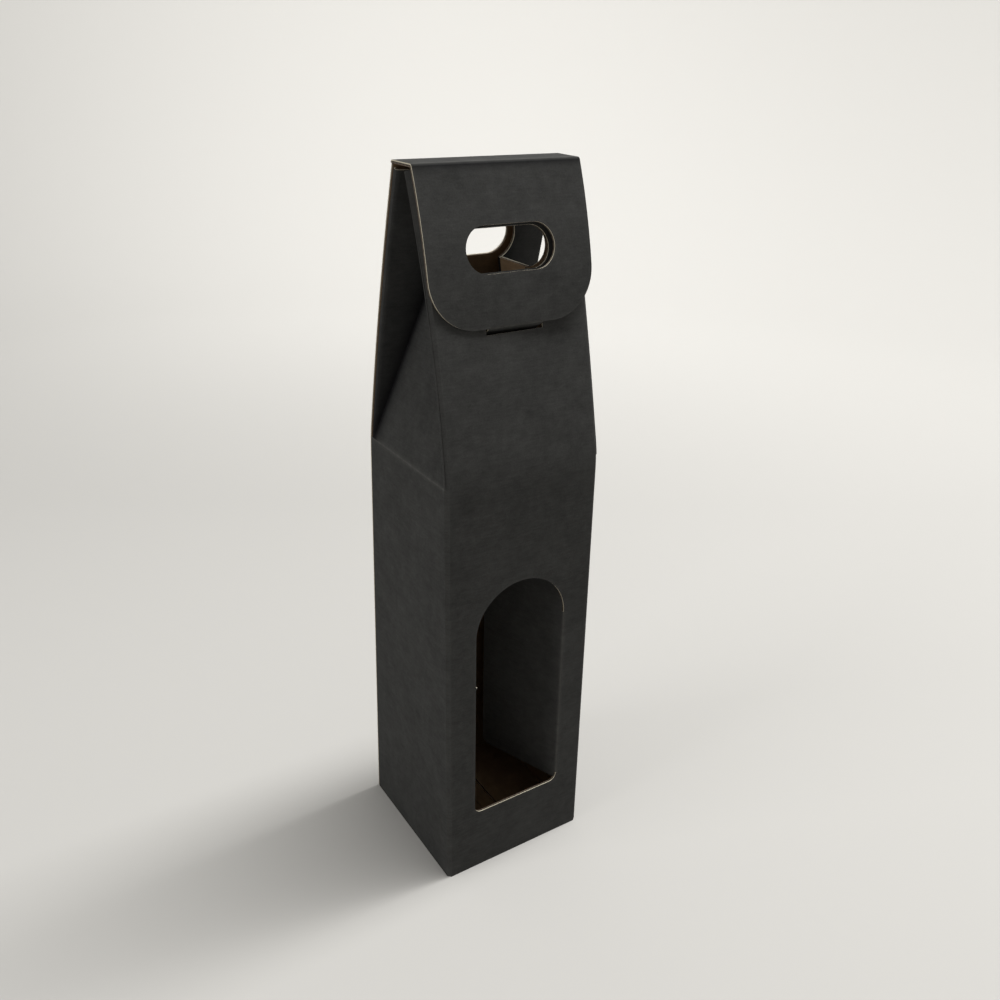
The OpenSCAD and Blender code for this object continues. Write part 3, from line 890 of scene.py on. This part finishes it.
def make_window_crease():
    """Fold at the window's right edge, from the front's face round to the cut-out's black face."""
    half = WINDOW_W / 2
    low, high = WINDOW_BOTTOM + WINDOW_R, WINDOW_TOP - half
    length = FOLD_R * WINDOW_TURN
    obj = sheet("window_fold", 0, length, low, high, length / 8)
    finish_board(obj, [("u", length / 2)], joined=[("u", 0), ("u", length)])

    def where(u, v, w):
        a = u / FOLD_R
        r = FOLD_IN + w
        return wall_place(half + WINDOW_TANGENT - r * math.sin(a), v, -FOLD_R + r * math.cos(a))
    span = turning_span(where(0, low, BOARD), where(length, low, BOARD))
    return bend(obj, where), span


# Bottom and glue flaps
def make_bottom():
    half_w = HALF_W - BOARD - INSIDE_GAP
    root = BASE_D / 2 - BOARD - INSIDE_GAP
    pieces = []
    for name, turn in (("bottom_back", 1), ("bottom_front", -1)):
        obj = sheet(name, -half_w, half_w, INSIDE_GAP - HOOK_L, root)
        cut(obj, slab(-INSIDE_GAP / 2, half_w + 5, -HOOK_L - 5, HOOK_L + INSIDE_GAP))
        finish_board(obj, [("v", root)])
        bend(obj, lambda u, v, w, t=turn: (t * u, t * v, BOARD - w))
        pieces.append(obj)
    for name, sign in (("bottom_left", -1), ("bottom_right", 1)):
        half_root = root - SEAM_END + INSIDE_GAP
        obj = sheet(name, half_w - SIDE_FLAP_L, half_w, -half_root, half_root)
        slice_off(obj, (half_w - SIDE_FLAP_L, SIDE_MITRE - half_root), (-SIDE_MITRE, -SIDE_FLAP_L))
        slice_off(obj, (half_w - SIDE_FLAP_L, half_root - SIDE_MITRE), (-SIDE_MITRE, SIDE_FLAP_L))
        finish_board(obj, [("u", half_w)])
        bend(obj, lambda u, v, w, s=sign: (s * u, v, 2 * BOARD + FLAP_GAP - w))
        pieces.append(obj)
    return pieces


def make_seams():
    low = sheet("seam_flap_board", 0, SEAM_W, SEAM_END, WALL_L - SEAM_END, step_v=TALL_PITCH)
    slice_off(low, (0, SEAM_END), (SEAM_SLANT, -SEAM_W))
    slice_off(low, (0, WALL_L - SEAM_END), (SEAM_SLANT, SEAM_W))
    finish_board(low, [("u", 0)])

    def on_back(u, v, w):
        y, z, ny, nz = smooth_section(v, BACK_TOP, BACK_BOW)
        inside = 2 * BOARD + FLAP_GAP - w
        return u - HALF_W + BOARD, y - ny * inside, z - nz * inside
    bend(low, on_back)
    start, end = (WALL_L + gable_chord(BACK_TOP) * share for share in GABLE_SEAM_SPAN)
    high = sheet("gable_seam_board", 0, GABLE_SEAM_W, start, end, step_v=TALL_PITCH)
    finish_board(high, [("u", 0)])
    bend(high, on_back)
    return low, high


# Build the box
front = make_front()
back = make_back()
left, right = make_side(-1), make_side(1)
flap = make_flap()
strip = make_strip()
tab, window_flap = make_tab(), make_window_flap()
folds = ((make_strip_crease(), "box", "strip"), (make_flap_crease(), "strip", "flap"),
         (make_tab_crease(), "flap", "tab"), (make_window_crease(), "box", "window_cutout"))
left_front_wing, left_back_wing = make_wing(-1, -1), make_wing(1, -1)
right_front_wing, right_back_wing = make_wing(-1, 1), make_wing(1, 1)
left_triangle, left_tip = make_gusset(-1)
right_triangle, right_tip = make_gusset(1)
bottom_back, bottom_front, bottom_left, bottom_right = make_bottom()
seam, gable_seam = make_seams()

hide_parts("front_gable")
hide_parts("back_gable")
for piece, body, node in (
        (front, "box", "front_panel"), (back, "box", "back_panel"), (left, "box", "left_panel"),
        (right, "box", "right_panel"), (flap, "flap", "closing_flap"), (strip, "strip", "top_strip"),
        (tab, "tab", "tuck_tab"), (window_flap, "window_cutout", "window_flap"),
        (left_front_wing, "box", "left_front_wing"), (left_back_wing, "box", "left_back_wing"),
        (right_front_wing, "box", "right_front_wing"), (right_back_wing, "box", "right_back_wing"),
        (left_triangle, "box", "left_gusset"), (left_tip, "box", "left_gusset_tip"),
        (right_triangle, "box", "right_gusset"), (right_tip, "box", "right_gusset_tip"),
        (bottom_back, "box", "bottom_back_flap"), (bottom_front, "box", "bottom_front_flap"),
        (bottom_left, "box", "bottom_left_flap"), (bottom_right, "box", "bottom_right_flap"),
        (seam, "box", "seam_flap"), (gable_seam, "box", "gable_seam_flap")):
    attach(piece, body)
    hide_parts(node)

for (piece, span), a, b in folds:
    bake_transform(piece)


# Floor, light and camera
SWEEP_R, SWEEP_CURVE = 1.3, 1.1     # metres: flat floor, then its round rise
FLOOR_SEEN, FLOOR_LIT = (0.51, 0.5, 0.476, 1), (0.45, 0.44, 0.42, 1)
AIR_LIGHT, AIR_SEEN = 0.3, 0.82


def make_sweep():
    """Pale studio floor that curves up into a wall all round, so that no view has a horizon."""
    bpy.ops.object.select_all(action="DESELECT")
    bpy.ops.mesh.primitive_circle_add(vertices=128, radius=SWEEP_R, fill_type="NGON", location=(0, 0, 0))
    obj = bpy.context.object
    obj.name = obj.data.name = "floor_sweep"
    bpy.ops.object.mode_set(mode="EDIT")
    bpy.ops.mesh.select_all(action="DESELECT")
    bpy.ops.mesh.select_mode(type="EDGE")
    bm = bmesh.from_edit_mesh(obj.data)
    for e in bm.edges:
        e.select = e.is_boundary
    bmesh.update_edit_mesh(obj.data)
    radius, height, steps = SWEEP_R, 0.0, 16
    for k in range(1, steps + 1):
        a = math.pi / 2 * k / steps
        r, h = SWEEP_R + SWEEP_CURVE * math.sin(a), SWEEP_CURVE * (1 - math.cos(a))
        bpy.ops.mesh.extrude_edges_move(TRANSFORM_OT_translate={"value": (0, 0, h - height)})
        bpy.ops.transform.resize(value=(r / radius, r / radius, 1))
        radius, height = r, h
    bpy.ops.object.mode_set(mode="OBJECT")
    bpy.ops.object.shade_smooth()
    return obj


def seen_by_camera(tree):
    light = tree.nodes.new("ShaderNodeLightPath")
    return math_node(tree, "MAXIMUM", light.outputs["Is Camera Ray"], light.outputs["Is Glossy Ray"])


def pale_floor():
    m, t, shader = new_material("pale floor")
    colour = mix_colour(t, seen_by_camera(t), FLOOR_LIT, FLOOR_SEEN)
    t.links.new(colour, shader.inputs["Base Color"])
    shader.inputs["Roughness"].default_value = 0.9
    shader.inputs["Specular IOR Level"].default_value = 0.1
    return m


floor = make_sweep()
floor.data.materials.append(pale_floor())


def make_studio_air():
    """Soft light from all round, which the camera sees as pale as the sweep."""
    world = bpy.data.worlds.new("studio")
    bpy.context.scene.world = world
    world.use_nodes = True
    tree = world.node_tree
    air = tree.nodes["Background"]
    air.inputs["Color"].default_value = (1.0, 0.99, 0.97, 1)
    extra = math_node(tree, "MULTIPLY", seen_by_camera(tree), AIR_SEEN - AIR_LIGHT)
    tree.links.new(math_node(tree, "ADD", extra, AIR_LIGHT), air.inputs["Strength"])


make_studio_air()


def soft_lamp(name, at, target, size, watts):
    data = bpy.data.lights.new(name, "AREA")
    data.shape, data.energy = "RECTANGLE", watts
    data.size, data.size_y = size
    obj = bpy.data.objects.new(name, data)
    bpy.context.scene.collection.objects.link(obj)
    obj.location = at
    aim = Vector(target) - Vector(at)
    obj.rotation_euler = aim.to_track_quat("-Z", "Y").to_euler()
    return obj


soft_lamp("overhead", (0.9, -0.12, 2.0), (0.9, 0, 0.1), (1.9, 0.45), 56)
soft_lamp("left_side", (-1.7, 0.1, 1.0), (0, 0, 0.2), (0.9, 0.9), 11)
soft_lamp("backdrop", (0.45, 1.0, 1.2), (1.1, 2.1, 0.5), (0.8, 0.8), 15)

# Camera, as solved from the box's corners in the photo
EYE = (-0.2488, -0.3953, 0.4312)
RIGHT, DOWN = Vector((0.84138, -0.53977, 0.02688)), Vector((-0.21102, -0.3739, -0.90314))
AHEAD = Vector((0.49754, 0.75422, -0.42849))
SENSOR, FOCAL_SHARE = 36.0, 0.9659  # millimetres, and the focal length as a share of the frame's width

cam_data = bpy.data.cameras.new("camera")
cam_data.sensor_width, cam_data.lens = SENSOR, FOCAL_SHARE * SENSOR
cam_data.clip_start = 0.01
cam = bpy.data.objects.new("camera", cam_data)
bpy.context.scene.collection.objects.link(cam)
cam.matrix_world = Matrix.Translation(EYE) @ Matrix((RIGHT, -DOWN, -AHEAD)).transposed().to_4x4()
bpy.context.scene.camera = cam

bpy.context.scene.view_settings.view_transform = "Standard"
